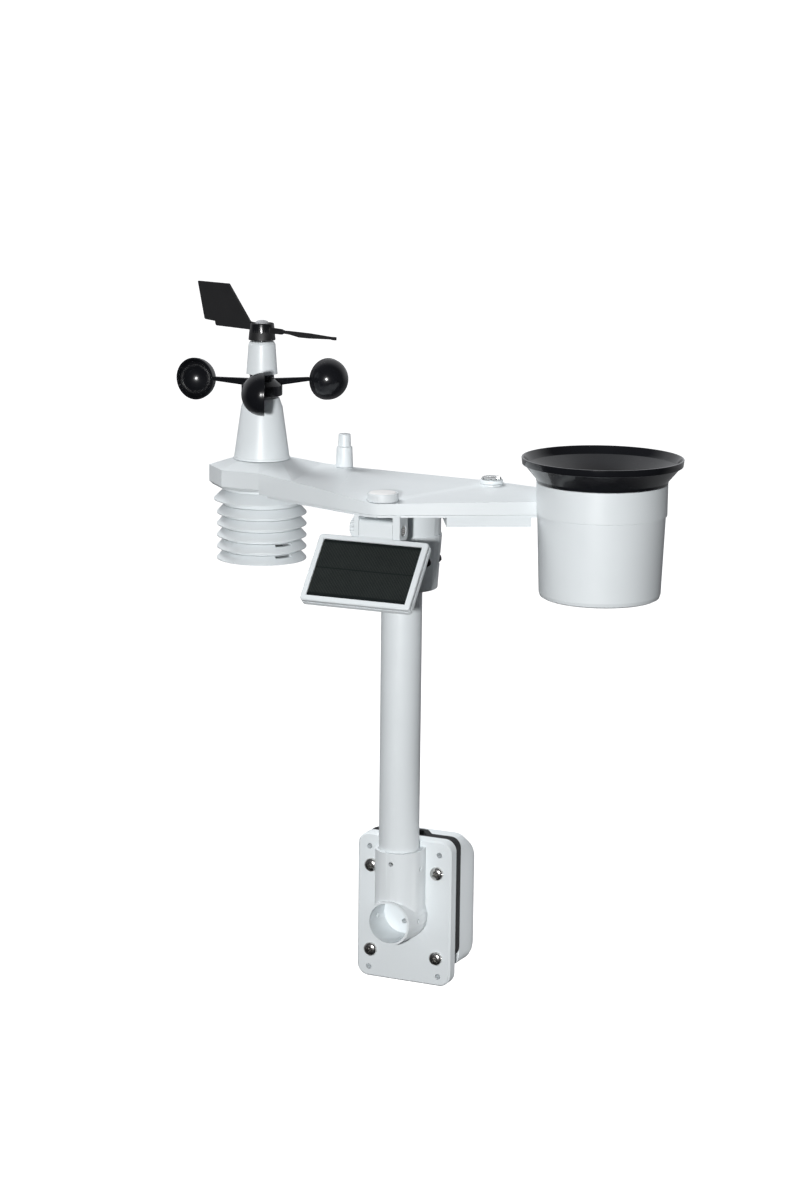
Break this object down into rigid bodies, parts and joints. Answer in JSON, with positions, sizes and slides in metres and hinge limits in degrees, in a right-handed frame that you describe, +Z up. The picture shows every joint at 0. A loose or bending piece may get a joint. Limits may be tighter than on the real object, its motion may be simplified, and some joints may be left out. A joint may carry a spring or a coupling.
{
  "type": "home weather station",
  "caption": "Pole-mounted outdoor weather sensor: wind vane and cup rotor over a louvred shield, tilting solar panel, and rain gauge with lift-off funnel.",
  "frame": {"origin": "middle of the pole groove in the bracket's rubber pad, level with the centre of the four bolts", "axes": "+Z up along the mast, +X towards the rain gauge, +Y out of the rubber face towards the pole, so the solar panel faces -Y"},
  "size_m": [0.3968, 0.1718, 0.518],
  "materials": {
    "white_plastic": "satin",
    "black_plastic": "semi-gloss",
    "rubber": "matt",
    "chrome": "polished",
    "dark_steel": "blackened",
    "steel": "ground",
    "grey_plastic": "satin",
    "clear_plastic": "clear",
    "diffuser": "translucent white",
    "solar_glass": "gloss",
    "battery": "printed sleeve",
    "circuit_board": "solder mask"
  },
  "bodies": {
    "bracket": {"stand": "white_plastic", "stand_pad": "rubber", "bolt_1": "chrome", "bolt_2": "chrome", "bolt_3": "chrome", "bolt_4": "chrome", "mast": "white_plastic"},
    "clamp": {"clamp_plate": "white_plastic", "clamp_pad": "rubber", "bolt_nut_1": "chrome", "bolt_nut_2": "chrome", "bolt_nut_3": "chrome", "bolt_nut_4": "chrome"},
    "head": {"upper_shell": "white_plastic", "lower_shell": "white_plastic", "collar_rear": "white_plastic", "collar_screw_1": "dark_steel", "collar_screw_2": "dark_steel", "collar_nut_1": "dark_steel", "collar_nut_2": "dark_steel", "antenna": "white_plastic", "uv_housing": "white_plastic", "uv_diffuser": "diffuser", "level_housing": "grey_plastic", "level_vial": "clear_plastic", "battery_1": "battery", "battery_2": "battery", "battery_3": "battery", "main_board": "circuit_board", "lower_cone": "white_plastic", "tower_post": "steel", "upper_cone": "white_plastic", "louvre_1": "white_plastic", "louvre_2": "white_plastic", "louvre_3": "white_plastic", "louvre_4": "white_plastic", "louvre_5": "white_plastic", "louvre_6": "white_plastic", "shield_base": "white_plastic", "tie_rod_1": "steel", "tie_rod_2": "steel", "humidity_probe": "grey_plastic", "hinge_screw": "chrome", "hinge_nut": "white_plastic", "gauge_body": "white_plastic", "bucket_pin": "steel"},
    "rotor": {"rotor_hub": "black_plastic", "cup_1": "black_plastic", "cup_2": "black_plastic", "cup_3": "black_plastic"},
    "wind_vane": {"vane": "black_plastic", "vane_cap": "grey_plastic", "vane_shaft": "steel"},
    "panel": {"solar_housing": "white_plastic", "solar_cell": "solar_glass"},
    "funnel_body": {"funnel": "black_plastic"},
    "bucket": {"tipping_bucket": "black_plastic"},
    "door": {"battery_door": "white_plastic"},
    "button": {"reset_button": "grey_plastic"}
  },
  "joints": [
    {"name": "clamp_slide", "type": "slide", "parent": "bracket", "child": "clamp", "axis": [0, 1, 0], "range_m": [0, 0.012]},
    {"name": "head_turn", "type": "hinge", "parent": "bracket", "child": "head", "pos_m": [0, -0.0245, 0.272], "axis": [0, 0, 1], "range_deg": [-180, 180]},
    {"name": "cups_spin", "type": "hinge", "parent": "head", "child": "rotor", "pos_m": [-0.1141, -0.0245, 0.392], "axis": [0, 0, 1], "continuous": true},
    {"name": "vane_turn", "type": "hinge", "parent": "head", "child": "wind_vane", "pos_m": [-0.1141, -0.0245, 0.431], "axis": [0, 0, 1], "continuous": true},
    {"name": "panel_tilt", "type": "hinge", "parent": "head", "child": "panel", "pos_m": [0, -0.0845, 0.304], "axis": [1, 0, 0], "range_deg": [-20, 40]},
    {"name": "funnel_lift", "type": "slide", "parent": "head", "child": "funnel_body", "axis": [0, 0, 1], "range_m": [0, 0.06]},
    {"name": "bucket_rock", "type": "hinge", "parent": "head", "child": "bucket", "pos_m": [0.1526, -0.0245, 0.2895], "axis": [0, 1, 0], "range_deg": [-24, 0]},
    {"name": "door_drop", "type": "slide", "parent": "head", "child": "door", "axis": [0, 0, -1], "range_m": [0, 0.03]},
    {"name": "button_press", "type": "slide", "parent": "head", "child": "button", "axis": [0, 0, 1], "range_m": [0, 0.0006], "stiffness_N_per_m": 400}
  ]
}
